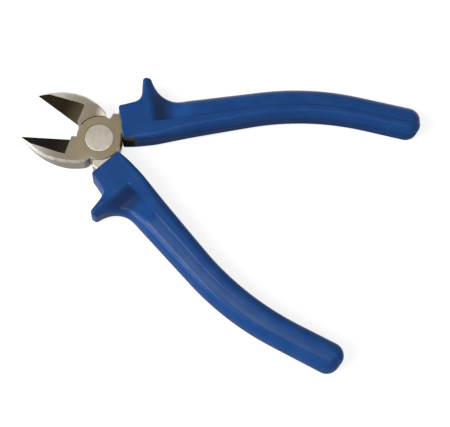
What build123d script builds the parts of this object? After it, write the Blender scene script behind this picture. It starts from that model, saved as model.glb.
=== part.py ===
from build123d import *
import os
from math import cos, radians, sin, tan

# Diagonal side cutter, drawn in the open pose. Millimetres.
# The rivet's axis is Z, the joint's back face is at Z = 0, the jaws point to -X, the handles to +X.
# Both halves are the same forging and the same moulding: the rear half is the front one turned
# over about the X axis. Each half is drawn on its own plane, with its jaw below that plane's x
# axis, its handle above it, and its cutting edge on the x axis, where the other edge meets it
# when the tool is closed.

# Joint
head_thick = 10.0
joint_radius = 9.3
half_opening = 17.0
lap_gap = 0.06
shoulder_gap = 0.12
disc_edge_break = 0.3
rivet_head_radius = 5.9
rivet_head_depth = 1.6
rivet_shank_radius = 3.6
rivet_running_gap = 0.04

# Jaws
jaw_reach = 32.0
jaw_back_radius = 25.6
edge_root = 11.2
edge_gap = 0.04
heel_outer = (-4.1, -10.3)
heel_inner = (-3.1, -8.3)
bevel_angle = 32.6
bevel_wall_lean = 16.0
jaw_tip_thick = 2.4
taper_start = 13.5
taper_round = 28.0
jaw_back_break = 1.0

# Shank, stop lug and tang
shank_foot = (3.6, 8.2)
shank_corner = (4.9, 10.9)
lug_end = 14.4
lug_gap = 0.12
lug_chamfer = 1.0
shank_edge_break = 0.4
tang_root_end = 17.0
tang_root_inner = 2.4
tang_root_outer = 11.8
tang_thick = 7.0
tang_half_width = 3.3
tang_end = 114.0

# Sleeve
sleeve_fit = 0.05
sleeve_thick = 12.5
collar_outer_corner = (6.9, 14.0)
collar_inner_corner = (9.75, 0.45)
neck_angle = 19.0
neck_round = 3.2
collar_round = 0.7
collar_edge_break = 0.5
guard_front = 16.15
guard_back = 19.55
guard_top = 27.1
guard_round = 1.4
guard_foot_round = 9.6
ridge_top = 16.8
ridge_foot = 21.0
ridge_lean = 10.0
grip_round = 3.4
grip_end_round = 5.3
hollow_depth = 1.7
hollow_length = 14.0
hollow_low_point = 3.0
hollow_mouth_height = 0.7
hollow_floor_round = 3.0
crease_inset = 1.5
crease_start = (19.2, 7.6)
# The grip's corners: distance along the handle, height of the middle line, half width.
# Straight runs meet at the hump on a large radius.
grip_start = (23.1, 9.25, 7.83)
grip_hump = (85.6, 22.93, 6.12)
grip_end = (132.2, 15.12, 6.38)
hump_radius = 117.0
grip_inner_start = 14.0
grip_inner_round = 100.0

# How far a cutting shape reaches past the piece that it cuts
cut_beyond = 30.0

mid = head_thick / 2
sleeve_proud = (sleeve_thick - head_thick) / 2
sleeve_top = head_thick + sleeve_proud
turn = radians(half_opening)
neck_rise = (guard_front - collar_outer_corner[0]) * tan(radians(neck_angle))
neck_corner = (guard_front, collar_outer_corner[1] + neck_rise)
beyond_tip = (-jaw_reach - cut_beyond, -jaw_back_radius)

front_side = Plane(origin=(0, 0, 0), x_dir=(cos(turn), sin(turn), 0), z_dir=(0, 0, 1))
rear_side = Plane(origin=(0, 0, head_thick), x_dir=(cos(turn), -sin(turn), 0), z_dir=(0, 0, -1))
halves = (("front", front_side, 0.0), ("rear", rear_side, rivet_running_gap))


def grip_line(share, shift=0.0):
    """Corners along the grip: its middle line, moved by a share of the half width and a shift."""
    return [(x, y + share * half + shift) for x, y, half in (grip_start, grip_hump, grip_end)]


inner_start, outer_start = [Vector(*grip_line(share)[0]) for share in (-1, 1)]
collar_edge = inner_start - Vector(collar_inner_corner)
guard_corner = Vector(guard_back, guard_top)
guard_heel = guard_corner + (outer_start - guard_corner).normalized() * guard_round


def collar_edge_point(x):
    """The point of the collar's inner edge at a distance x along the handle."""
    return Vector(collar_inner_corner) + collar_edge * ((x - collar_inner_corner[0]) / collar_edge.X)


def root_outline(room):
    """Outline of the shank, stop lug and tang root inside the collar, with room around it."""
    return Polyline(
        (0, 0),
        (shank_foot[0] - room, shank_foot[1] + room),
        (shank_corner[0] - room, shank_corner[1] + room),
        (collar_outer_corner[0], shank_corner[1] + room),
        (tang_root_end + room, tang_root_outer + room),
        (tang_root_end + room, tang_root_inner - room),
        (lug_end + room, tang_root_inner - room),
        (lug_end + room, lug_gap - room),
        (joint_radius, lug_gap - room),
        close=True,
    )


def tang_outline(room):
    """Outline of the tang, a bar along the middle of the grip, with room around it."""
    start, hump, end = [Vector(*point) for point in grip_line(0)]
    foot = start - (hump - start) * ((start.X - tang_root_end) / (hump.X - start.X))
    tip = end - (end - hump) * ((end.X - tang_end) / (end.X - hump.X))
    middle = FilletPolyline(foot, hump, tip, radius=hump_radius, mode=Mode.PRIVATE)
    offset(middle, amount=tang_half_width + room, side=Side.BOTH)


def upright(side, y=0.0):
    """The plane of a half's x and height, at a distance y across it."""
    return Plane(origin=side.origin + side.y_dir * y, x_dir=side.x_dir, z_dir=-side.y_dir)


def ridge_side(side):
    """A half's plane moved to the ridge at the guard's top and turned to lean with it."""
    lean = radians(ridge_lean)
    return Plane(
        origin=side.from_local_coords((ridge_top, guard_top, 0)),
        x_dir=side.x_dir * cos(lean) + side.y_dir * sin(lean),
        z_dir=side.z_dir,
    )


def crosswise(side, x):
    """The plane of a half's y and height, at a distance x along it."""
    return Plane(origin=side.origin + side.x_dir * x, x_dir=side.y_dir, z_dir=side.x_dir)


def rims(piece, side):
    """The edges round a flat piece's two faces."""
    return piece.faces().filter_by(side).edges()


os.makedirs("parts", exist_ok=True)

for name, side, running_gap in halves:
    # The ground face of the cutting edge: a wedge above the bevel, ended by a leaning wall.
    with BuildPart() as bevel:
        with BuildSketch(side.offset(mid)):
            with BuildLine():
                Polyline(
                    (-edge_root, 0),
                    (beyond_tip[0], 0),
                    beyond_tip,
                    (-edge_root + beyond_tip[1] * tan(radians(bevel_wall_lean)), beyond_tip[1]),
                    close=True,
                )
            make_face()
        extrude(amount=head_thick)
        with BuildSketch(crosswise(side, beyond_tip[0])):
            with BuildLine():
                Polyline(
                    (0, mid),
                    (beyond_tip[1], mid - beyond_tip[1] * tan(radians(bevel_angle))),
                    (beyond_tip[1], mid - beyond_tip[1]),
                    (0, mid - beyond_tip[1]),
                    close=True,
                )
            make_face()
        extrude(amount=-beyond_tip[0], mode=Mode.INTERSECT)

    # The jaw: straight edge, round back, square heel, thinner towards the tip on both faces.
    with BuildPart() as jaw:
        with BuildSketch(side):
            with BuildLine():
                Line((-joint_radius, -edge_gap), (-jaw_reach, -edge_gap))
                RadiusArc((-jaw_reach, -edge_gap), heel_outer, -jaw_back_radius)
                Polyline(heel_outer, heel_inner, (0, 0), (-joint_radius, -edge_gap))
            make_face()
        extrude(amount=head_thick)
        with BuildSketch(upright(side, beyond_tip[1])):
            with BuildLine():
                corner = Vector(-taper_start, head_thick)
                tip = Vector(-jaw_reach, mid + jaw_tip_thick / 2)
                taper = FilletPolyline((0, head_thick), corner, tip + (tip - corner), radius=taper_round)
                above = Vector(0, cut_beyond)
                Polyline(taper @ 1, taper @ 1 + above, taper @ 0 + above, taper @ 0)
            make_face()
            mirror(about=Plane.XZ.offset(-mid))
        extrude(amount=-jaw_back_radius - cut_beyond, mode=Mode.SUBTRACT)
        back = jaw.faces().filter_by(GeomType.CYLINDER).sort_by(SortBy.AREA)[-1]
        chamfer(back.edges().filter_by(lambda edge: edge.length > jaw_tip_thick), length=jaw_back_break)
        add(bevel.part, mode=Mode.SUBTRACT)
        add(bevel.part.mirror(side.offset(mid)), mode=Mode.SUBTRACT)

    # Shank, stop lug and root of the tang, at the full thickness of the head.
    with BuildPart() as root:
        with BuildSketch(side):
            with BuildLine():
                root_outline(0)
            make_face()
        extrude(amount=head_thick)
        across = Axis(side.origin, side.y_dir)
        lug_edges = rims(root, side).filter_by(Axis(side.origin, side.x_dir)).group_by(across)[0]
        chamfer(lug_edges, length=lug_chamfer)
        shank_edges = rims(root, side).filter_by_position(across, shank_foot[1], tang_root_outer)
        chamfer(shank_edges, length=shank_edge_break)

    # This half's share of the disc that turns about the rivet, its outer rim broken.
    with BuildPart() as disc:
        with BuildSketch(side.offset(mid + lap_gap / 2)):
            Circle(joint_radius)
        extrude(amount=mid - lap_gap / 2)
        chamfer(disc.edges().group_by(Axis(side.origin, side.z_dir))[-1], length=disc_edge_break)

    with BuildPart() as lever:
        add(jaw.part)
        add(root.part)

        # The tang, thinner than the head, follows the middle of the grip.
        with BuildSketch(side.offset(mid - tang_thick / 2)):
            with BuildLine():
                tang_outline(0)
            make_face()
        extrude(amount=tang_thick)

        # Room for the other half of the lap joint, then this half of it.
        with BuildSketch(side):
            Circle(joint_radius + shoulder_gap)
        extrude(amount=mid + lap_gap / 2, mode=Mode.SUBTRACT)
        add(disc.part)

        # The rivet's seat: a bore for the shank, and a wider one for the head.
        with BuildSketch(side):
            Circle(rivet_shank_radius + running_gap)
        extrude(amount=head_thick, mode=Mode.SUBTRACT)
        with BuildSketch(side.offset(head_thick - rivet_head_depth - running_gap)):
            Circle(rivet_head_radius + running_gap)
        extrude(amount=head_thick, mode=Mode.SUBTRACT)
    lever.part.label = f"{name}_lever"
    export_step(lever.part, f"parts/{name}_lever.step")

# The rivet, set in the front lever: two flush heads and a thinner shank between them.
with BuildPart() as rivet:
    with BuildSketch(Plane.XY):
        Circle(rivet_head_radius)
    extrude(amount=rivet_head_depth)
    with BuildSketch(Plane.XY):
        Circle(rivet_shank_radius)
    extrude(amount=head_thick)
    with BuildSketch(Plane.XY.offset(head_thick - rivet_head_depth)):
        Circle(rivet_head_radius)
    extrude(amount=rivet_head_depth)
rivet.part.label = "rivet"
export_step(rivet.part, "parts/rivet.step")

for name, side, running_gap in halves:
    # The grip, from under the guard to the rounded end, well rounded along both faces.
    with BuildPart() as grip:
        with BuildSketch(side.offset(-sleeve_proud)) as plan:
            with BuildLine():
                outer = FilletPolyline(
                    guard_heel,
                    *grip_line(1),
                    radius=[guard_foot_round, hump_radius],
                )
                inner = FilletPolyline(
                    collar_edge_point(grip_inner_start),
                    *grip_line(-1),
                    radius=[grip_inner_round, hump_radius],
                )
                Polyline(outer @ 0, (grip_inner_start, guard_heel.Y), inner @ 0)
                Line(outer @ 1, inner @ 1)
            make_face()
            fillet(plan.vertices().group_by(Axis.X)[-1], radius=grip_end_round)
        extrude(amount=sleeve_thick)
        long_rims = [edge for edge in rims(grip, side) if side.to_local_coords(edge @ 0.5).X > guard_back]
        fillet(long_rims, radius=grip_round)

    # The collar and the thumb guard: one block in front of the ridge, its edges only broken.
    with BuildPart() as collar:
        with BuildSketch(side.offset(-sleeve_proud)):
            with BuildLine():
                FilletPolyline(
                    collar_inner_corner,
                    collar_outer_corner,
                    neck_corner,
                    (guard_front, guard_top),
                    guard_corner,
                    guard_heel,
                    radius=[collar_round, neck_round, guard_round, guard_round],
                )
                Polyline(guard_heel, collar_edge_point(ridge_foot), collar_inner_corner)
            make_face()
        extrude(amount=sleeve_thick)
        chamfer(rims(collar, side), length=collar_edge_break)

    # The hollow for the thumb behind the guard, outside the crease, on both faces.
    with BuildPart() as hollow:
        with BuildSketch(side.offset(-cut_beyond)):
            with BuildLine():
                crease = FilletPolyline(crease_start, *grip_line(0, -crease_inset)[1:], radius=hump_radius)
                beyond = Vector(0, cut_beyond)
                Polyline(crease @ 1, crease @ 1 + beyond, crease @ 0 + beyond, crease @ 0)
            make_face()
        extrude(amount=head_thick + 2 * cut_beyond)
        with BuildSketch(upright(ridge_side(side), -guard_top)):
            with BuildLine():
                floor = FilletPolyline(
                    (0, sleeve_top + hollow_mouth_height),
                    (hollow_low_point, sleeve_top - hollow_depth),
                    (hollow_length, sleeve_top + hollow_mouth_height),
                    radius=hollow_floor_round,
                )
                Line(floor @ 1, floor @ 0)
            make_face()
            mirror(about=Plane.XZ.offset(-mid))
        extrude(amount=-guard_top - cut_beyond, mode=Mode.INTERSECT)

    with BuildPart() as sleeve:
        add(grip.part)
        add(collar.part)
        add(hollow.part, mode=Mode.SUBTRACT)

        # The socket for the tang, open at the collar and beside the stop lug.
        with BuildSketch(side.offset(-sleeve_fit)):
            with BuildLine():
                root_outline(sleeve_fit)
            make_face()
        extrude(amount=head_thick + 2 * sleeve_fit, mode=Mode.SUBTRACT)
        with BuildSketch(side.offset(mid - tang_thick / 2 - sleeve_fit)):
            with BuildLine():
                tang_outline(sleeve_fit)
            make_face()
        extrude(amount=tang_thick + 2 * sleeve_fit, mode=Mode.SUBTRACT)
    sleeve.part.label = f"{name}_sleeve"
    export_step(sleeve.part, f"parts/{name}_sleeve.step")
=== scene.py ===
import bmesh
import bpy
import numpy as np
from math import cos, pi, radians, sin, tan
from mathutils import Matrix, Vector


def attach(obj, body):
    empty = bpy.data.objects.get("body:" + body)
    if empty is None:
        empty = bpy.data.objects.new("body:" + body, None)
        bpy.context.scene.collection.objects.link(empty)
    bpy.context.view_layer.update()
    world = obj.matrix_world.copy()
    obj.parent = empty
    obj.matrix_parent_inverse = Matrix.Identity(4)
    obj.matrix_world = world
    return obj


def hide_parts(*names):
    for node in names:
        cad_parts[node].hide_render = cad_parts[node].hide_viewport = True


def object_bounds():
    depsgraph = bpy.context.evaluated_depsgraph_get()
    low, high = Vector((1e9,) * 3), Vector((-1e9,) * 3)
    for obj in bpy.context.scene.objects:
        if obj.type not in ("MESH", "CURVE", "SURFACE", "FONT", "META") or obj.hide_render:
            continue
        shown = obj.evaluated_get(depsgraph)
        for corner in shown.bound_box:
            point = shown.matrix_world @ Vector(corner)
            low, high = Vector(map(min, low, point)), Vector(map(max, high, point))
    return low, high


# A diagonal side cutter in its open pose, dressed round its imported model.
# Each half has its own frame: x along its handle, y across it towards the outer side, z up from
# the middle of its thickness, all in millimetres. A half turns by its share of the opening, and
# the rear half is the front one turned over about the x axis.

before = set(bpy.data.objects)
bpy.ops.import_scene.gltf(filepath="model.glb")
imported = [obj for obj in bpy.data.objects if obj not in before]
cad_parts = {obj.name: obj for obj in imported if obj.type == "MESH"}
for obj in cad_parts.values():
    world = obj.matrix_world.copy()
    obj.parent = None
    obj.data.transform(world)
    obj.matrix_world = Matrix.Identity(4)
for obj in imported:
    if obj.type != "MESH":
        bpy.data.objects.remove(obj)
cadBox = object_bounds()

mm = 0.001
opening = 17.0
midHeight = 5.0
sides = {"front": 1, "rear": -1}


# From a half's own frame to the shared one: turned by the opening, lifted to the head's middle,
# with y and z changing sign together on the rear half.
def placeHalf(points, side):
    turn = radians(opening)
    x, y, z = points[..., 0], points[..., 1], points[..., 2]
    across = side * (x * sin(turn) + y * cos(turn))
    placed = [x * cos(turn) - y * sin(turn), across, midHeight + side * z]
    return np.stack(placed, axis=-1) * mm


# The same turn undone, for directions, or for millimetres counted from the head's middle.
def turnBack(vectors, side):
    turn = radians(opening)
    x, y, z = vectors[..., 0], side * vectors[..., 1], side * vectors[..., 2]
    return np.stack([x * cos(turn) + y * sin(turn), y * cos(turn) - x * sin(turn), z], axis=-1)


# A path of straight runs joined by tangent arcs. Each corner is cut back by its radius times the
# tangent of half its turn, and the arc is the circle of that radius through both cuts.
# Returns the points, and the length along the path at each arc's start and end.
def roundedPath(corners, radii, arcPoints=17):
    corners = np.array(corners, dtype=float)
    runs = [corners[:1]]
    for before, corner, after, radius in zip(corners[:-2], corners[1:-1], corners[2:], radii):
        inward = (before - corner) / np.linalg.norm(before - corner)
        outward = (after - corner) / np.linalg.norm(after - corner)
        halfTurn = (pi - np.arccos(inward @ outward)) / 2
        middle = (inward + outward) / np.linalg.norm(inward + outward)
        along = (outward - inward) / np.linalg.norm(outward - inward)
        sweep = np.linspace(-halfTurn, halfTurn, arcPoints)[:, None]
        centre = corner + middle * radius / cos(halfTurn)
        runs.append(centre - radius * np.cos(sweep) * middle + radius * np.sin(sweep) * along)
    runs.append(corners[-1:])
    points = np.vstack(runs)
    lengths = pathLengths(points)
    starts = 1 + arcPoints * np.arange(len(radii))
    return points, [(lengths[start], lengths[start + arcPoints - 1]) for start in starts]


# Running length along a path: the sum of the distances between its points.
def pathLengths(points):
    steps = np.linalg.norm(np.diff(points, axis=0), axis=1)
    return np.concatenate([[0.0], np.cumsum(steps)])


# The point at each given length along a path, by linear interpolation.
def pointsAt(path, lengths):
    known = pathLengths(path)
    return np.stack([np.interp(lengths, known, path[:, axis]) for axis in (0, 1)], axis=-1)


# 0 below the low value, 1 above the high one, and a cubic ease between them.
def ease(value, low, high):
    share = np.clip((value - low) / (high - low), 0.0, 1.0)
    return share * share * (3 - 2 * share)


# A mesh object from points and faces, with smooth shading that breaks at edges over the angle.
def makePiece(name, points, faces, body, breakAngle):
    mesh = bpy.data.meshes.new(name)
    mesh.from_pydata(np.reshape(points, (-1, 3)).tolist(), [], faces)
    mesh.validate()
    piece = bpy.data.objects.new(name, mesh)
    bpy.context.scene.collection.objects.link(piece)
    shadeSmooth(piece, breakAngle)
    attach(piece, body)
    return piece


def shadeSmooth(piece, breakAngle):
    mesh = piece.data
    mesh.polygons.foreach_set("use_smooth", np.ones(len(mesh.polygons), dtype=bool))
    mesh.set_sharp_from_angle(angle=radians(breakAngle))
    mesh.update()


# Faces of a grid of points, row by row; a closed grid also joins its last column to its first.
def gridFaces(rows, columns, closed=False, first=0):
    index = first + np.arange(rows * columns).reshape(rows, columns)
    if closed:
        index = np.hstack([index, index[:, :1]])
    corners = [index[:-1, :-1], index[:-1, 1:], index[1:, 1:], index[1:, :-1]]
    return np.stack(corners, axis=-1).reshape(-1, 4).tolist()


sleeveForm = {
    "halfThick": 6.25,
    # outline corners and the radius at each inner corner of the path
    "outerCorners": [(7.155, 12.77), (6.9, 14.0), (16.15, 17.185), (16.15, 27.1), (19.55, 27.1),
                     (23.1, 17.08), (85.6, 29.05), (132.2, 21.5), (132.2, 15.12)],
    "outerRadii": [1.1, 4.4, 1.4, 1.4, 11.0, 117.0, 5.3],
    "innerCorners": [(9.75, 0.05), (15.2, 0.12), (23.1, 1.42), (85.6, 16.81), (132.2, 8.74),
                     (132.2, 15.12)],
    "innerRadii": [20.0, 40.0, 117.0, 5.3],
    # inner points that face the neck, the guard's faces and its foot
    "neckFacing": (14.2, 16.2),
    "guardFacing": (17.0, 17.6, 18.3, 19.0),
    "footFacing": (20.6, 30.0),
    # edge rounding: at the collar, then at the grip, and where along x it grows
    "collarRound": 0.35,
    "outerRounds": (0.35, 0.8, 1.3, 4.3),
    "outerGrowths": ((7.0, 9.5), (13.0, 15.8), (20.5, 34.0)),
    "innerRounds": (0.35, 0.6, 1.7, 3.6),
    "innerGrowths": ((9.75, 11.0), (10.5, 16.0), (17.0, 40.0)),
    # crease: the line where the outer side steps down below the inner one
    "creaseCorners": [(0.0, 3.6), (85.6, 21.43), (132.2, 13.62)],
    "creaseRadii": [117.0],
    "creaseStep": 0.3,
    "creaseWidth": 0.35,
    "creaseGrowth": (22.0, 30.0),
    # crown of the outer side: its fall at its reach from the crease, and where along x it grows
    "crown": 1.3,
    "crownReach": 9.0,
    "crownGrowth": (24.0, 40.0),
    # hollow for the thumb behind the guard
    "ridgeTop": (17.6, 27.1),
    "ridgeLean": 10.4,
    "footTop": (22.4, 27.1),
    "footLean": 14.0,
    "hollowDepth": 2.0,
    "hollowEnd": 19.0,
    "lipDepth": 0.25,
    "lipWidth": 0.6,
    # where painted shade darkens the colour: how wide the crease's dark line is and where along x
    # it starts, then the hollow's steep side, past its ridge, short of its foot, past the crease
    # and below the guard's top, on faces that look up or down
    "creaseReach": 0.45,
    "creaseShadeGrowth": (24.0, 30.0),
    "sunkenStart": (0.2, 2.0),
    "sunkenEnd": (-0.5, 4.5),
    "sunkenSide": (0.0, 0.8),
    "sunkenTop": (17.0, 24.0),
    "sunkenTilt": (0.45, 0.85),
}

# How finely the sleeve's grid is drawn, and how much of a station each part of it may take
sleeveGrid = {
    "pitch": 0.9,
    "arcSteps": 15,
    "frontReach": 0.7,
    "frontSteps": 7,
    "leastStep": 0.045,
    "outlinePitch": 0.12,
    "roundSteps": 9,
    "innerSteps": 9,
    "creaseSteps": 5,
    "outerSteps": 11,
    "wallSteps": 7,
    "creaseShares": (0.3, 0.7),
    "innerShare": 0.25,
    "outerShare": 0.42,
    "stepShare": 0.05,
    "creasePoints": 41,
    "turnPoints": 20,
    "breakAngle": 38.0,
}


# Height of the sleeve's upper face over its middle plane, as the half thickness less four drops:
# the crease's step and crown on the outer side, the hollow behind the ridge, and the rounding,
# r - sqrt(r^2 - (r - d)^2) at a distance d under r from the outline.
def sleeveHeight(points, outline, outlineRound, crease):
    form = sleeveForm
    x, y = points[..., 0], points[..., 1]
    past = y - np.interp(x, crease[:, 0], crease[:, 1])
    outer = ease(past, 0.0, form["creaseWidth"])
    step = form["creaseStep"] * ease(x, *form["creaseGrowth"])
    crown = form["crown"] * (np.clip(past, 0.0, None) / form["crownReach"]) ** 2
    crown = crown * ease(x, *form["crownGrowth"])
    ridge, foot = hollowLines(y)
    rising = np.clip((x - foot) / (form["hollowEnd"] - (foot - ridge)), 0.0, 1.0)
    lip = form["lipDepth"] * ease(x, ridge, ridge + form["lipWidth"])
    fallen = form["hollowDepth"] * ease(x, ridge, foot) + lip
    hollow = fallen * (1 - ease(rising, 0.0, 1.0))
    distance, rounding = edgeDistance(points, outline, outlineRound)
    within = np.clip(rounding - distance, 0.0, None)
    rounded = rounding - np.sqrt(np.clip(rounding**2 - within**2, 0.0, None))
    return form["halfThick"] - outer * (step + hollow) - crown - rounded


# Where the hollow starts and where it is deepest, along x at a given y: two leaning lines.
def hollowLines(y):
    form = sleeveForm
    ridge = form["ridgeTop"][0] + (form["ridgeTop"][1] - y) * tan(radians(form["ridgeLean"]))
    foot = form["footTop"][0] + (form["footTop"][1] - y) * tan(radians(form["footLean"]))
    return ridge, foot


# Distance of each point from the outline's nearest run, measured square to it, and the rounding
# radius that the outline has there.
def edgeDistance(points, outline, outlineRound):
    flat = points.reshape(-1, 2)
    tangent = np.gradient(outline, axis=0)
    normal = np.stack([tangent[:, 1], -tangent[:, 0]], axis=-1)
    normal /= np.linalg.norm(normal, axis=1)[:, None]
    apart = flat[:, None, :] - outline[None, :, :]
    nearest = np.argmin(apart[..., 0] ** 2 + apart[..., 1] ** 2, axis=1)
    distance = np.abs(np.sum((flat - outline[nearest]) * normal[nearest], axis=1))
    shape = points.shape[:-1]
    return distance.reshape(shape), outlineRound[nearest].reshape(shape)


# Lengths along the outer path for the stations: fine steps at the front, round the five tight
# corners behind it and round the end, and the pitch of the grid between them.
def stationLengths(path, marks):
    grid = sleeveGrid
    total = pathLengths(path)[-1]
    arcs = [np.linspace(start, end, grid["arcSteps"]) for start, end in marks[:5] + marks[-1:]]
    front = grid["frontReach"] * (1 - np.cos(np.linspace(0, pi / 2, grid["frontSteps"])))
    even = np.arange(grid["pitch"], total, grid["pitch"])
    lengths = np.unique(np.round(np.concatenate([front, even] + arcs), 4))
    lengths = lengths[lengths <= marks[-1][1]]
    keep = np.concatenate([[True], np.diff(lengths) > grid["leastStep"]])
    return lengths[keep]


# The sleeve as a closed loop carried along its outline. Each station joins a point of the outer
# path to its partner on the inner path; the loop runs over the top, down the outer wall, back
# underneath and up the inner wall, and both ends are closed by a grid.
def sleeveSurface():
    form, grid = sleeveForm, sleeveGrid
    outer, outerMarks = roundedPath(form["outerCorners"], form["outerRadii"])
    inner, innerMarks = roundedPath(form["innerCorners"], form["innerRadii"])
    crease = creaseLine()
    innerLengths = pathLengths(inner)
    _, neck, guardTop, guardBack, foot, hump, end = outerMarks

    # length along the inner path at x, without its turn at the end, where x no longer grows
    def innerAt(x):
        rising = slice(0, -grid["turnPoints"])
        return np.interp(x, inner[rising, 0], innerLengths[rising])

    partners = [(0.0, 0.0)] + list(zip(neck, [innerAt(x) for x in form["neckFacing"]]))
    partners += list(zip(guardTop + guardBack, [innerAt(x) for x in form["guardFacing"]]))
    partners += list(zip(foot, [innerAt(x) for x in form["footFacing"]]))
    partners += list(zip(hump, innerMarks[-2])) + list(zip(end, innerMarks[-1]))
    partners = np.array(partners)
    lengths = stationLengths(outer, outerMarks)
    outerPoints = pointsAt(outer, lengths)
    innerPoints = pointsAt(inner, np.interp(lengths, partners[:, 0], partners[:, 1]))

    # the whole outline as one fine run, with the rounding radius that belongs to each point
    front = densePath(np.array([inner[0], outer[0]]))
    outline = np.vstack([densePath(outer), densePath(inner)[::-1], front])
    outerRound = roundAlong(densePath(outer), form["outerRounds"], form["outerGrowths"])
    innerRound = roundAlong(densePath(inner), form["innerRounds"], form["innerGrowths"])
    frontRound = np.full(len(front), form["collarRound"])
    outlineRound = np.concatenate([outerRound, innerRound[::-1], frontRound])

    # places across a station: fine in both roundings and at the crease's step
    across = outerPoints - innerPoints
    width = np.linalg.norm(across, axis=1)
    pastInner = innerPoints[:, 1] - np.interp(innerPoints[:, 0], crease[:, 0], crease[:, 1])
    pastOuter = outerPoints[:, 1] - np.interp(outerPoints[:, 0], crease[:, 0], crease[:, 1])
    creaseAt = width * np.clip(-pastInner / (pastOuter - pastInner), *grid["creaseShares"])
    curve = 1 - np.cos(np.linspace(0, pi / 2, grid["roundSteps"]))
    innerBand = roundAlong(innerPoints, form["innerRounds"], form["innerGrowths"])
    innerBand = np.minimum(innerBand, grid["innerShare"] * width)
    outerBand = roundAlong(outerPoints, form["outerRounds"], form["outerGrowths"])
    outerBand = np.minimum(outerBand, grid["outerShare"] * width)
    stepWidth = np.minimum(form["creaseWidth"], grid["stepShare"] * width)
    knots = [innerBand[:, None] * curve]
    knots.append(between(innerBand, creaseAt, grid["innerSteps"])[:, 1:])
    knots.append(between(creaseAt, creaseAt + stepWidth, grid["creaseSteps"])[:, 1:])
    knots.append(between(creaseAt + stepWidth, width - outerBand, grid["outerSteps"])[:, 1:])
    knots.append((width[:, None] - outerBand[:, None] * curve[::-1])[:, 1:])
    share = np.hstack(knots) / width[:, None]
    plan = innerPoints[:, None, :] + share[..., None] * across[:, None, :]
    height = sleeveHeight(plan, outline, outlineRound, crease)

    wallSteps = np.linspace(1, -1, grid["wallSteps"])[1:-1]
    top = np.dstack([plan, height])
    bottom = np.dstack([plan, -height])[:, ::-1]
    outerWall = wallBetween(plan[:, -1], height[:, -1], wallSteps)
    innerWall = wallBetween(plan[:, 0], height[:, 0], -wallSteps)
    loop = np.concatenate([top, outerWall, bottom, innerWall], axis=1)
    stations, around = loop.shape[:2]
    faces = gridFaces(stations, around, closed=True)
    points = [loop.reshape(-1, 3)]
    for row, flip in ((0, False), (stations - 1, True)):
        first = sum(len(block) for block in points)
        cap, capFaces = endGrid(loop, row, plan.shape[1], len(wallSteps), first)
        faces += [face[::-1] for face in capFaces] if flip else capFaces
        points.append(cap)
    return np.vstack(points), faces


# The crease seen from above: two straight runs joined by one long arc.
def creaseLine():
    form = sleeveForm
    line, _ = roundedPath(form["creaseCorners"], form["creaseRadii"], sleeveGrid["creasePoints"])
    return line


# Rows of evenly spaced values from a low to a high, one row for each station.
def between(low, high, count):
    return low[:, None] + (high - low)[:, None] * np.linspace(0, 1, count)


# A path's points with more put in, so that no step is over the outline's pitch.
def densePath(path):
    total = pathLengths(path)[-1]
    return pointsAt(path, np.linspace(0, total, int(total / sleeveGrid["outlinePitch"]) + 2))


# Rounding radius along an edge: the first radius, eased to each next one over its stretch of x.
def roundAlong(points, radii, growths):
    steps = [step * ease(points[:, 0], *growth) for step, growth in zip(np.diff(radii), growths)]
    return radii[0] + sum(steps)


# Wall points under an edge: its place in the plan, its height times each step.
def wallBetween(plan, height, steps):
    wall = np.repeat(plan[:, None, :], len(steps), axis=1)
    return np.dstack([wall, height[:, None] * steps])


# An end of the loop, closed by a grid between its top run and its bottom run. The grid has its own
# copies of the loop's points there, which are merged afterwards.
def endGrid(loop, row, across, wallCount, first):
    top = loop[row, :across]
    rows = [top]
    for share in np.linspace(1, -1, wallCount + 2)[1:]:
        rows.append(top * np.array([1, 1, share]))
    grid = np.stack(rows)
    return grid.reshape(-1, 3), gridFaces(len(rows), across, first=first)


# Points closer than a thousandth of a millimetre become one, and faces are turned outwards.
def mergeDoubles(piece):
    work = bmesh.new()
    work.from_mesh(piece.data)
    bmesh.ops.remove_doubles(work, verts=work.verts, dist=0.001 * mm)
    bmesh.ops.recalc_face_normals(work, faces=work.faces)
    work.to_mesh(piece.data)
    work.free()


socketForm = {
    "room": 0.05,
    "rootHalf": 5.0,
    "tangHalf": 3.5,
    "rootCentre": (8.0, 5.5),
    "rootFront": 1.0,
    "rootCorners": [(0.0, 0.0), (3.6, 8.2), (4.9, 10.9), (6.9, 10.9), (17.0, 11.8), (17.0, 2.4),
                    (14.4, 2.4), (14.4, 0.0), (9.0, 0.0)],
    "tangCorners": [(15.0, 7.48), (85.6, 22.93), (116.0, 17.83)],
    "tangRadius": 117.0,
    "tangPoints": 31,
    "tangWidth": 3.3,
    # the window over the stop lug, cut from the middle plane up through the upper skin
    "windowTop": 7.0,
    "windowCorners": [(8.0, -1.0), (8.0, 0.65), (14.45, 0.65), (14.45, -1.0)],
}


# A flat outline raised to a closed block between two heights, in a half's own frame.
def prismMesh(name, outline, low, high, side):
    outline = np.array(outline, dtype=float)
    count = len(outline)
    levels = [np.column_stack([outline, np.full(count, height)]) for height in (low, high)]
    points = np.vstack(levels)
    ring = np.arange(count)
    after = np.roll(ring, -1)
    walls = np.column_stack([ring, after, after + count, ring + count]).tolist()
    faces = walls + [ring[::-1].tolist(), (ring + count).tolist()]
    mesh = bpy.data.meshes.new(name)
    mesh.from_pydata(placeHalf(points, side).tolist(), [], faces)
    block = bpy.data.objects.new(name, mesh)
    bpy.context.scene.collection.objects.link(block)
    mergeDoubles(block)
    return block


# Cuts a block out of a piece with a Boolean modifier, applied, and removes the block.
def cutOut(piece, block):
    cut = piece.modifiers.new("pocket", "BOOLEAN")
    cut.operation = "DIFFERENCE"
    cut.solver = "EXACT"
    cut.object = block
    applyModifiers(piece)
    bpy.data.objects.remove(block)


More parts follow.
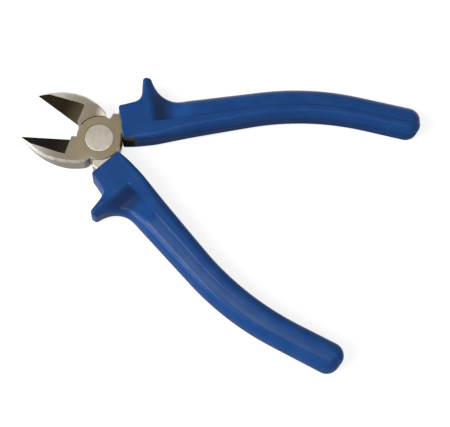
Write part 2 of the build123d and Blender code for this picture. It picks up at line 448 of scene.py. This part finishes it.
# Puts what the modifiers make of a piece into its mesh, and clears them.
def applyModifiers(piece):
    evaluated = piece.evaluated_get(bpy.context.evaluated_depsgraph_get())
    dressed = bpy.data.meshes.new_from_object(evaluated)
    piece.modifiers.clear()
    piece.data = dressed


# Outlines of the pocket: the shank, stop lug and tang root, then the tang, a bar of even width
# about a middle line. Each has its room added outwards from its own middle, but for the root's
# corner in the open front.
def pocketOutlines():
    form = socketForm
    room = form["room"]
    root = np.array(form["rootCorners"])
    outwards = np.sign(root - np.array(form["rootCentre"]))
    root = root + room * outwards * (root[:, :1] > form["rootFront"])
    middle, _ = roundedPath(form["tangCorners"], [form["tangRadius"]], form["tangPoints"])
    tangent = np.gradient(middle, axis=0)
    tangent /= np.linalg.norm(tangent, axis=1)[:, None]
    aside = np.stack([-tangent[:, 1], tangent[:, 0]], axis=-1) * (form["tangWidth"] + room)
    return root, np.vstack([middle - aside, (middle + aside)[::-1]])


def makeSleeve(name, side):
    points, faces = sleeveSurface()
    breakAngle = sleeveGrid["breakAngle"]
    sleeve = makePiece(f"{name}_grip", placeHalf(points, side), faces, f"{name}_half", breakAngle)
    mergeDoubles(sleeve)
    root, tang = pocketOutlines()
    for outline, half in ((root, socketForm["rootHalf"]), (tang, socketForm["tangHalf"])):
        half = half + socketForm["room"]
        cutOut(sleeve, prismMesh("pocketBlock", outline, -half, half, side))
    corners, top = socketForm["windowCorners"], socketForm["windowTop"]
    cutOut(sleeve, prismMesh("windowBlock", corners, 0.0, top, side))
    shadeSmooth(sleeve, breakAngle)
    noteForms(sleeve, side)
    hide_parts(f"{name}_sleeve")
    return sleeve


# Writes three shares from 0 to 1 on a sleeve's points: "upward", how far the surface faces up or
# down, then one that is 1 in the crease's step, where a line of painted shade goes, and one that is
# 1 along the hollow's steep side, where painted shade goes.
def noteForms(piece, side):
    form = sleeveForm
    mesh = piece.data
    normals = np.zeros(len(mesh.vertices) * 3)
    mesh.vertex_normals.foreach_get("vector", normals)
    places = np.zeros(len(mesh.vertices) * 3)
    mesh.vertices.foreach_get("co", places)
    x, y, _ = turnBack(places.reshape(-1, 3) / mm - np.array([0, 0, midHeight]), side).T
    crease = creaseLine()
    past = y - np.interp(x, crease[:, 0], crease[:, 1])
    ridge, foot = hollowLines(y)
    paintedCreaseShade = np.clip(1 - np.abs(past - form["creaseWidth"] / 2) / form["creaseReach"], 0, 1)
    paintedHollowShade = ease(x - ridge, *form["sunkenStart"]) * (1 - ease(x - foot, *form["sunkenEnd"]))
    paintedHollowShade = paintedHollowShade * ease(past, *form["sunkenSide"]) * (1 - ease(y, *form["sunkenTop"]))
    upward = np.abs(normals.reshape(-1, 3)[:, 2])
    shares = {
        "upward": upward,
        "paintedCreaseShade": paintedCreaseShade * ease(x, *form["creaseShadeGrowth"]),
        "paintedHollowShade": paintedHollowShade * ease(upward, *form["sunkenTilt"]),
    }
    for name, values in shares.items():
        mesh.attributes.new(name, "FLOAT", "POINT").data.foreach_set("value", values)


rivetForm = {
    "headRadius": 5.83,
    "headDepth": 1.6,
    "shankRadius": 3.6,
    "edgeRound": 0.22,
    "crown": 0.08,
    "around": 96,
    "faceSteps": 9,
    "rimSteps": 6,
    "breakAngle": 50.0,
}


# The rivet: a profile turned about the z axis. Each head's face is a shallow crown, falling with
# the square of the radius, and its rim is a quarter circle.
def makeRivet():
    form = rivetForm
    flat = form["headRadius"] - form["edgeRound"]
    faceRadius = flat * np.linspace(0, 1, form["faceSteps"])[1:]
    faceHeight = midHeight + form["crown"] * (1 - (faceRadius / flat) ** 2)
    quarter = np.linspace(0, pi / 2, form["rimSteps"])[1:]
    rimRadius = flat + form["edgeRound"] * np.sin(quarter)
    rimHeight = midHeight - form["edgeRound"] * (1 - np.cos(quarter))
    under = midHeight - form["headDepth"]
    inner = [form["headRadius"], form["shankRadius"], form["shankRadius"]]
    radius = np.concatenate([faceRadius, rimRadius, inner])
    height = np.concatenate([faceHeight, rimHeight, [under, under, 0.0]])
    radius = np.concatenate([radius, radius[-2::-1]])
    height = np.concatenate([height, -height[-2::-1]])
    angle = np.linspace(0, 2 * pi, form["around"], endpoint=False)
    grid = np.stack([
        radius[:, None] * np.cos(angle),
        radius[:, None] * np.sin(angle),
        np.repeat(height[:, None], len(angle), axis=1),
    ], axis=-1)
    faces = gridFaces(len(radius), len(angle), closed=True)
    poles = np.array([[0, 0, midHeight + form["crown"]], [0, 0, -midHeight - form["crown"]]])
    ring = np.arange(len(angle))
    after = np.roll(ring, -1)
    last = (len(radius) - 1) * len(angle)
    topPole = len(radius) * len(angle)
    faces += np.column_stack([np.full(len(ring), topPole), after, ring]).tolist()
    faces += np.column_stack([np.full(len(ring), topPole + 1), last + ring, last + after]).tolist()
    points = np.vstack([grid.reshape(-1, 3), poles]) + np.array([0, 0, midHeight])
    rivet = makePiece("rivet_pin", points * mm, faces, "front_half", form["breakAngle"])
    mergeDoubles(rivet)
    shadeSmooth(rivet, form["breakAngle"])
    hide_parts("rivet")
    return rivet


leverForm = {
    "mergeDistance": 0.002,
    "flatAngle": 0.6,
    "edgeWidth": 0.38,
    "edgeAngles": (24.0, 105.0),
    "edgeSteps": 3,
    "breakAngle": 50.0,
    "flatWeight": 80,
}


# A lever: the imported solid's mesh copied and merged, its flat faces made whole, and its edges
# rounded by a bevel whose shading leaves the faces flat. An edge is rounded where its faces turn by
# an angle between the two limits. The short edges at the very tip turn by more and stay sharp.
def makeLever(name, side):
    form = leverForm
    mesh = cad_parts[f"{name}_lever"].data.copy()
    work = bmesh.new()
    work.from_mesh(mesh)
    bmesh.ops.remove_doubles(work, verts=work.verts, dist=form["mergeDistance"] * mm)
    flat = radians(form["flatAngle"])
    bmesh.ops.dissolve_limit(work, angle_limit=flat, verts=work.verts, edges=work.edges)
    bmesh.ops.recalc_face_normals(work, faces=work.faces)
    rounded = work.edges.layers.float.new("bevel_weight_edge")
    least, most = (radians(angle) for angle in form["edgeAngles"])
    for edge in work.edges:
        edge[rounded] = float(least < edge.calc_face_angle(0.0) < most)
    work.to_mesh(mesh)
    work.free()
    lever = bpy.data.objects.new(f"{name}_jaw", mesh)
    bpy.context.scene.collection.objects.link(lever)
    bevel = lever.modifiers.new("edges", "BEVEL")
    bevel.width = form["edgeWidth"] * mm
    bevel.segments = form["edgeSteps"]
    bevel.limit_method = "WEIGHT"
    bevel.miter_outer = "MITER_ARC"
    applyModifiers(lever)
    shadeSmooth(lever, form["breakAngle"])
    weigh = lever.modifiers.new("flatness", "WEIGHTED_NORMAL")
    weigh.keep_sharp = True
    weigh.weight = form["flatWeight"]
    applyModifiers(lever)
    noteFacing(lever, side)
    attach(lever, f"{name}_half")
    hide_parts(f"{name}_lever")
    return lever


# Writes each face's direction, turned back into its half's own frame, as the attribute "facing".
def noteFacing(piece, side):
    mesh = piece.data
    normals = np.zeros(len(mesh.polygons) * 3)
    mesh.polygons.foreach_get("normal", normals)
    facing = turnBack(normals.reshape(-1, 3), side)
    mesh.attributes.new("facing", "FLOAT_VECTOR", "FACE").data.foreach_set("vector", facing.ravel())


# Shader arithmetic: a wire holds one output socket, and each operator adds a Math node.
class Wire:
    def __init__(self, tree, socket=None):
        self.tree = tree
        self.socket = socket

    # Adds a node: its settings first, then the number, colour or wire of each named socket.
    def add(self, kind, settings=None, sockets=None, output=0):
        node = self.tree.nodes.new(kind)
        for name, value in (settings or {}).items():
            setattr(node, name, value)
        for name, value in (sockets or {}).items():
            if isinstance(value, Wire):
                self.tree.links.new(value.socket, node.inputs[name])
            else:
                node.inputs[name].default_value = value
        return Wire(self.tree, node.outputs[output])

    def math(self, operation, left, right=0.0):
        return self.add("ShaderNodeMath", {"operation": operation}, {0: left, 1: right})

    def __add__(self, other):
        return self.math("ADD", self, other)

    def __radd__(self, other):
        return self.math("ADD", other, self)

    def __sub__(self, other):
        return self.math("SUBTRACT", self, other)

    def __rsub__(self, other):
        return self.math("SUBTRACT", other, self)

    def __mul__(self, other):
        return self.math("MULTIPLY", self, other)

    def __rmul__(self, other):
        return self.math("MULTIPLY", other, self)

    def __abs__(self):
        return self.math("ABSOLUTE", self)

    def root(self):
        return self.math("SQRT", self)

    # 0 below the low value, 1 above the high one, eased between them
    def ease(self, low, high):
        sockets = {"Value": self, "From Min": low, "From Max": high}
        return self.add("ShaderNodeMapRange", {"interpolation_type": "SMOOTHSTEP"}, sockets)

    # a number between two others, with this wire as the share of the second
    def between(self, first, second):
        return first + self * (second - first)

    # this wire as the share of the second colour over the first
    def blend(self, first, second):
        sockets = {0: self, 6: first, 7: second}
        return self.add("ShaderNodeMix", {"data_type": "RGBA"}, sockets, output=2)

    # noise about 0.5 on a vector wire, with sizes in millimetres along x, y and z
    def noise(self, size, detail=3.0, roughness=0.5):
        stretched = self.add("ShaderNodeVectorMath", {"operation": "DIVIDE"}, {0: self, 1: size})
        sockets = {"Vector": stretched, "Scale": 1.0, "Detail": detail, "Roughness": roughness}
        return self.add("ShaderNodeTexNoise", None, sockets)

    # a surface direction that follows this wire as a relief, with its depth in millimetres
    def bump(self, strength, depth):
        sockets = {"Strength": strength, "Distance": depth * mm, "Height": self}
        return self.add("ShaderNodeBump", None, sockets)


# A new material with its surface shader. Returns the material, a bare wire and the shader node.
def newMaterial(name):
    material = bpy.data.materials.new(name)
    material.use_nodes = True
    shader = material.node_tree.nodes["Principled BSDF"]
    return material, Wire(material.node_tree), shader


# Feeds sockets of the surface shader with numbers, colours or wires.
def feed(wire, shader, sockets):
    for name, value in sockets.items():
        if isinstance(value, Wire):
            wire.tree.links.new(value.socket, shader.inputs[name])
        else:
            shader.inputs[name].default_value = value


# Object coordinates turned back into a half's own frame, in millimetres.
def halfCoordinates(wire, side):
    turnedOver = 0.0 if side > 0 else pi
    place = wire.add("ShaderNodeTexCoord", output=3)
    return wire.add("ShaderNodeMapping", {"vector_type": "POINT"}, {
        "Vector": place,
        "Scale": (1 / mm, 1 / mm, 1 / mm),
        "Rotation": (turnedOver, 0.0, -radians(opening)),
        "Location": (0.0, 0.0, -side * midHeight),
    })


def splitVector(vector):
    node = vector.tree.nodes.new("ShaderNodeSeparateXYZ")
    vector.tree.links.new(vector.socket, node.inputs[0])
    return [Wire(vector.tree, output) for output in node.outputs]


steelLook = {
    # each lever's own tones, where the one towards the jaw's tip is a painted highlight
    "front": {
        "root": (0.190, 0.158, 0.104, 1),
        "jaw": (0.168, 0.147, 0.113, 1),
        "tip": (0.310, 0.304, 0.291, 1),
        "shank": (0.180, 0.146, 0.092, 1),
        "heel": (0.225, 0.190, 0.132, 1),
        "lug": 1.0,
    },
    "rear": {
        "root": (0.165, 0.141, 0.100, 1),
        "jaw": (0.228, 0.204, 0.164, 1),
        "tip": (0.440, 0.408, 0.340, 1),
        "shank": (0.370, 0.340, 0.292, 1),
        "heel": (0.550, 0.505, 0.425, 1),
        "lug": 0.0,
    },
    # paler steel for the worn edges, also a painted highlight along the jaw's crest
    "wearAndHighlight": (0.560, 0.530, 0.470, 1),
    # the ground faces' near-black and their paler streaks: painted shade
    "ground": (0.0075, 0.0055, 0.0030, 1),
    "groundPale": (0.042, 0.033, 0.018, 1),
    # the dull tone of the mottling, also painted shade on the walls about the joint
    "side": (0.130, 0.110, 0.078, 1),
    # the front stop lug's near-black face and the dark brown strip along its top, a brown that also
    # paints the heel notch's shade
    "lugFace": (0.0300, 0.0330, 0.0520, 1),
    "lugStrip": (0.058, 0.048, 0.028, 1),
    "rough": 0.44,
    "bevelAngle": 32.6,
    # where one tone gives way to the next, in millimetres: out from the joint, round the heel
    # notch, along the shank, round the rivet's head, and the lug's start, side and top
    "jawStart": (9.5, 10.5),
    "jawTone": (7.0, 15.0),
    "tipTone": (16.0, 28.0),
    "toneDrift": 6.0,
    "heelPlace": (-4.1, -10.3),
    "heelTone": (0.8, 5.2),
    "shankTone": (1.0, 6.0),
    "ringTone": (5.6, 7.0),
    "rootShade": (-9.0, -4.0),
    "groundTone": (-24.0, -10.0),
    "lugStart": (8.3, 8.8),
    "lugSide": (2.3, 2.8),
    "lugTop": (2.2, 2.5),
    # which way a face looks, as shares of its direction: the ground faces, the rounded edges, the
    # flat faces, the walls, and the long crest of the jaw
    "groundFacing": (0.975, 0.99),
    "edgeFacing": (0.12, 0.3),
    "flatFacing": (0.9, 0.97),
    "wallFacing": (0.05, 0.2),
    "crestLean": (0.08, 0.2),
    "crestFacing": (0.86, 0.9),
    # how much of each tone shows
    "mottleShade": 0.5,
    "brushShade": 0.25,
    "ringShade": 0.1,
    "wallShade": 0.3,
    "notchReach": (0.93, 1.0),
    "notchShade": 0.7,
    "wornReach": (0.25, 0.6),
    "wornShade": 0.6,
    "groundMix": (0.5, 0.6),
    "groundReach": (0.3, 1.1),
    # what each pattern adds to the roughness
    "brushRough": 0.22,
    "mottleRough": 0.12,
    "groundRough": 0.1,
    "lugRough": 0.15,
    "reliefStrength": 0.1,
    "reliefDepth": 0.05,
    # noise sizes along x, y and z, in millimetres
    "mottleSize": (3.0, 3.0, 3.0),
    "cloudSize": (7.0, 5.0, 5.0),
    "brushSize": (1.4, 0.05, 0.9),
    "groundBrushSize": (0.05, 2.0, 2.0),
}


# Lever steel: a satin face with fine cross grinding, duller about the joint and paler where the
# edges are worn, with a painted highlight towards the jaw's tip and along its crest, painted shade
# on the walls about the joint, in the heel notch and on the ground faces along the cutting edge,
# and a near-black, non-metallic face with a dark brown strip on the front lever's stop lug. Which
# face is which is told by its direction and its place.
def leverSteel(name, side, tones):
    look = steelLook
    material, wire, shader = newMaterial(name)
    place = halfCoordinates(wire, side)
    x, y, z = splitVector(place)
    facing = wire.add("ShaderNodeAttribute", {"attribute_name": "facing"}, output=1)
    _, ny, nz = splitVector(facing)
    lean = radians(look["bevelAngle"])
    jawSide = (x * -1.0).ease(*look["jawStart"])
    ground = (ny * sin(lean) + abs(nz) * cos(lean)).ease(*look["groundFacing"])
    ground = ground * jawSide
    flat = abs(nz)
    edge = flat.ease(*look["edgeFacing"]) * (1 - flat.ease(*look["flatFacing"])) * (1 - ground)
    upright = 1 - flat.ease(*look["wallFacing"])
    radius = (x * x + y * y).root()
    mottle = place.noise(look["mottleSize"], 4.0, 0.6)
    cloud = place.noise(look["cloudSize"], 3.0, 0.5)
    brush = place.noise(look["brushSize"], 2.0)
    groundBrush = place.noise(look["groundBrushSize"], 2.0)

    # tones from the joint outwards, paling to a painted highlight towards the tip, then the heel,
    # the shank and the duller ring round the rivet
    outwards = x * -1.0 + (cloud - 0.5) * look["toneDrift"]
    body = outwards.ease(*look["jawTone"]).blend(tones["root"], tones["jaw"])
    body = outwards.ease(*look["tipTone"]).blend(body, tones["tip"])
    heelX, heelY = x - look["heelPlace"][0], y - look["heelPlace"][1]
    heel = 1 - (heelX * heelX + heelY * heelY).root().ease(*look["heelTone"])
    body = heel.blend(body, tones["heel"])
    body = x.ease(*look["shankTone"]).blend(body, tones["shank"])
    ring = 1 - radius.ease(*look["ringTone"])
    dull = (mottle - 0.5) * look["mottleShade"] + (brush - 0.5) * look["brushShade"]
    body = (dull + ring * look["ringShade"]).blend(body, look["side"])
    # painted shade: walls about the joint and along the shank darkened towards the dull tone, and
    # the heel notch's walls painted dark brown
    body = (upright * x.ease(*look["rootShade"]) * look["wallShade"]).blend(body, look["side"])
    notch = upright * heel.ease(*look["notchReach"]) * look["notchShade"]
    body = notch.blend(body, look["lugStrip"])

    # worn edges, with a painted highlight along the jaw's crest; the ground faces, painted dark as
    # shade; and the stop lug, near-black under a dark brown strip
    crestHighlight = ny.ease(*look["crestLean"]) * flat.ease(*look["crestFacing"]) * jawSide * (1 - ground)
    wearAndHighlight = (edge + crestHighlight) * mottle.ease(*look["wornReach"]) * look["wornShade"]
    body = wearAndHighlight.blend(body, look["wearAndHighlight"])
    # painted shade: the ground faces darkened to near-black, paler in streaks and towards the joint
    brushMix, alongMix = look["groundMix"]
    groundTone = groundBrush * brushMix + x.ease(*look["groundTone"]) * alongMix
    groundTone = groundTone.ease(*look["groundReach"])
    body = ground.blend(body, groundTone.blend(look["ground"], look["groundPale"]))
    # the front lever's stop lug: near-black and not metallic, with a dark brown strip along its top
    lug = x.ease(*look["lugStart"]) * (1 - y.ease(*look["lugSide"])) * tones["lug"]
    lugTone = z.ease(*look["lugTop"]).blend(look["lugFace"], look["lugStrip"])
    body = lug.blend(body, lugTone)
    rough = look["rough"] + (brush - 0.5) * look["brushRough"]
    rough = rough + (mottle - 0.5) * look["mottleRough"]
    rough = rough + ground * look["groundRough"] + lug * look["lugRough"]
    relief = brush * (1 - ground) + groundBrush * ground
    bump = relief.bump(look["reliefStrength"], look["reliefDepth"])
    feed(wire, shader, {
        "Base Color": body, "Metallic": 1 - lug, "Roughness": rough,
        "Specular IOR Level": 0.0, "Normal": bump,
    })
    return material


rivetLook = {
    "face": (0.320, 0.288, 0.235, 1),
    "facePale": (0.375, 0.342, 0.288, 1),
    "rough": 0.38,
    "brushRough": 0.2,
    "paleReach": (0.3, 0.7),
    "reliefStrength": 0.08,
    "reliefDepth": 0.05,
    "mottleSize": (2.2, 2.2, 2.2),
    "brushSize": (0.6, 0.04, 0.6),
}


# Rivet steel: a paler, finely turned face.
def rivetSteel(name):
    look = rivetLook
    material, wire, shader = newMaterial(name)
    place = halfCoordinates(wire, 1)
    mottle = place.noise(look["mottleSize"], 4.0, 0.6)
    brush = place.noise(look["brushSize"], 2.0)
    face = mottle.ease(*look["paleReach"]).blend(look["face"], look["facePale"])
    rough = look["rough"] + (brush - 0.5) * look["brushRough"]
    bump = brush.bump(look["reliefStrength"], look["reliefDepth"])
    feed(wire, shader, {"Base Color": face, "Metallic": 1.0, "Roughness": rough, "Normal": bump})
    return material


sleeveLook = {
    "blue": (0.0022, 0.040, 0.168, 1),
    "bluePale": (0.0050, 0.050, 0.192, 1),
    # the blue that painted shade darkens towards
    "paintedShadeBlue": (0.0035, 0.011, 0.045, 1),
    # how dark the crease's painted shade line is, and how glossy the walls are
    "front": {"creaseShade": 0.55, "wallGloss": 0.16},
    "rear": {"creaseShade": 0.0, "wallGloss": 0.35},
    # how far painted shade darkens the hollow's steep side
    "sunkenShade": 0.62,
    # where the clouding turns pale, and how far up a face must look to be glossy
    "paleReach": (0.25, 0.8),
    "glossReach": (0.1, 0.6),
    "glossLevel": 0.9,
    "glossCloud": 0.5,
    "rough": 0.5,
    "coatRough": 0.28,
    "coatIndex": 1.28,
    "cloudRough": 0.12,
    "grainRough": 0.1,
    "reliefMix": (0.7, 0.3),
    "reliefStrength": 0.3,
    "reliefDepth": 0.03,
    "cloudSize": (9.0, 6.0, 6.0),
    "grainSize": (0.35, 0.35, 0.35),
    "fineSize": (0.09, 0.09, 0.09),
}


# Moulded plastic: a deep blue with faint clouding, a fine mould texture and a thin gloss that the
# rough moulded walls lack, with painted shade in the thumb hollow and along the front sleeve's
# crease.
def sleevePlastic(name, side, tones):
    look = sleeveLook
    material, wire, shader = newMaterial(name)
    place = halfCoordinates(wire, side)
    cloud = place.noise(look["cloudSize"], 3.0)
    grain = place.noise(look["grainSize"], 2.0, 0.6)
    fine = place.noise(look["fineSize"], 2.0)
    body = cloud.ease(*look["paleReach"]).blend(look["blue"], look["bluePale"])
    rough = look["rough"] + (cloud - 0.5) * look["cloudRough"] + (grain - 0.5) * look["grainRough"]
    upward = wire.add("ShaderNodeAttribute", {"attribute_name": "upward"}, output=2)
    gloss = upward.ease(*look["glossReach"]).between(tones["wallGloss"], 1.0)
    gloss = gloss * (look["glossLevel"] + (cloud - 0.5) * look["glossCloud"])
    paintedHollowShade = wire.add("ShaderNodeAttribute", {"attribute_name": "paintedHollowShade"}, output=2)
    paintedCreaseShade = wire.add("ShaderNodeAttribute", {"attribute_name": "paintedCreaseShade"}, output=2)
    # painted shade: the hollow's steep side and, on the front sleeve, the crease's step are
    # darkened towards the shade blue
    body = (paintedHollowShade * look["sunkenShade"]).blend(body, look["paintedShadeBlue"])
    body = (paintedCreaseShade * tones["creaseShade"]).blend(body, look["paintedShadeBlue"])
    grainMix, fineMix = look["reliefMix"]
    relief = grain * grainMix + fine * fineMix
    bump = relief.bump(look["reliefStrength"], look["reliefDepth"])
    feed(wire, shader, {
        "Base Color": body, "Roughness": rough, "Specular IOR Level": 0.0, "Normal": bump,
        "Coat Weight": gloss, "Coat Roughness": look["coatRough"], "Coat IOR": look["coatIndex"],
    })
    return material


def setMaterial(piece, material):
    piece.data.materials.clear()
    piece.data.materials.append(material)


studio = {
    "cameraPlace": (0.07233, -0.13923, 0.48981),
    "cameraTurn": (14.5079, -3.525, 19.5298),
    "lens": 98.752,
    "nearest": 0.01,
    "floorSize": 4.0,
    "floorDrop": 0.05,
    "floorTone": 0.34,
    "floorGlow": 0.78,
    "lampTarget": (0.05, 0.0, 0.0),
    "ambient": 0.30,
    "lamps": {
        "keyLamp": {"place": (-0.50, -0.53, 1.05), "size": 0.5, "watts": 6.4},
        "lowLamp": {"place": (-0.77, -0.74, 0.59), "size": 0.7, "watts": 6.5},
        "topLamp": {"place": (-0.02, -0.07, 1.30), "size": 0.35, "watts": 2.6},
        "sideLamp": {"place": (-1.20, -0.30, 0.32), "size": 0.4, "watts": 13.0},
    },
}


def makeCamera():
    data = bpy.data.cameras.new("viewCamera")
    data.lens = studio["lens"]
    data.clip_start = studio["nearest"]
    camera = bpy.data.objects.new("viewCamera", data)
    camera.location = studio["cameraPlace"]
    camera.rotation_euler = [radians(angle) for angle in studio["cameraTurn"]]
    bpy.context.scene.collection.objects.link(camera)
    bpy.context.scene.camera = camera


def makeLamps():
    target = Vector(studio["lampTarget"])
    for name, lamp in studio["lamps"].items():
        data = bpy.data.lights.new(name, "AREA")
        data.shape = "DISK"
        data.size = lamp["size"]
        data.energy = lamp["watts"]
        light = bpy.data.objects.new(name, data)
        light.location = lamp["place"]
        light.rotation_euler = (Vector(lamp["place"]) - target).to_track_quat("Z", "Y").to_euler()
        bpy.context.scene.collection.objects.link(light)


# The rays that see the plain white studio: the camera's, and those of gloss and glass.
def seesBackdrop(wire):
    paths = wire.tree.nodes.new("ShaderNodeLightPath")
    kinds = ("Camera", "Glossy", "Transmission")
    wires = [Wire(wire.tree, paths.outputs[f"Is {kind} Ray"]) for kind in kinds]
    return wire.math("MAXIMUM", wire.math("MAXIMUM", wires[0], wires[1]), wires[2])


def makeWorld():
    world = bpy.data.worlds.new("studioWorld")
    bpy.context.scene.world = world
    world.use_nodes = True
    wire = Wire(world.node_tree)
    background = world.node_tree.nodes["Background"]
    strength = seesBackdrop(wire) * (1 - studio["ambient"]) + studio["ambient"]
    background.inputs["Color"].default_value = (1, 1, 1, 1)
    world.node_tree.links.new(strength.socket, background.inputs["Strength"])


# The floor: pale, part lit and part of its own white, so that it stays plain and keeps a shadow.
def makeFloor():
    half = studio["floorSize"] / 2
    level = cadBox[0][2] - studio["floorDrop"] * mm
    mesh = bpy.data.meshes.new("floor")
    turns = [(-1, -1), (1, -1), (1, 1), (-1, 1)]
    corners = [(half * x, half * y, level) for x, y in turns]
    mesh.from_pydata(corners, [], [(0, 1, 2, 3)])
    floor = bpy.data.objects.new("floor", mesh)
    bpy.context.scene.collection.objects.link(floor)
    material, wire, shader = newMaterial("floorWhite")
    tone, ownGlow = studio["floorTone"], studio["floorGlow"]
    glow = seesBackdrop(wire).blend((0, 0, 0, 1), (ownGlow, ownGlow, ownGlow, 1))
    feed(wire, shader, {
        "Base Color": (tone, tone, tone, 1), "Roughness": 1.0, "Specular IOR Level": 0.0,
        "Emission Color": glow, "Emission Strength": 1.0,
    })
    setMaterial(floor, material)


bpy.context.scene.view_settings.view_transform = "Standard"

print("levers")
for name, side in sides.items():
    steel = leverSteel(f"{name}LeverSteel", side, steelLook[name])
    setMaterial(makeLever(name, side), steel)

print("rivet")
setMaterial(makeRivet(), rivetSteel("rivetSteel"))

print("sleeves")
for name, side in sides.items():
    plastic = sleevePlastic(f"{name}SleevePlastic", side, sleeveLook[name])
    setMaterial(makeSleeve(name, side), plastic)

print("studio")
makeCamera()
makeLamps()
makeWorld()
makeFloor()
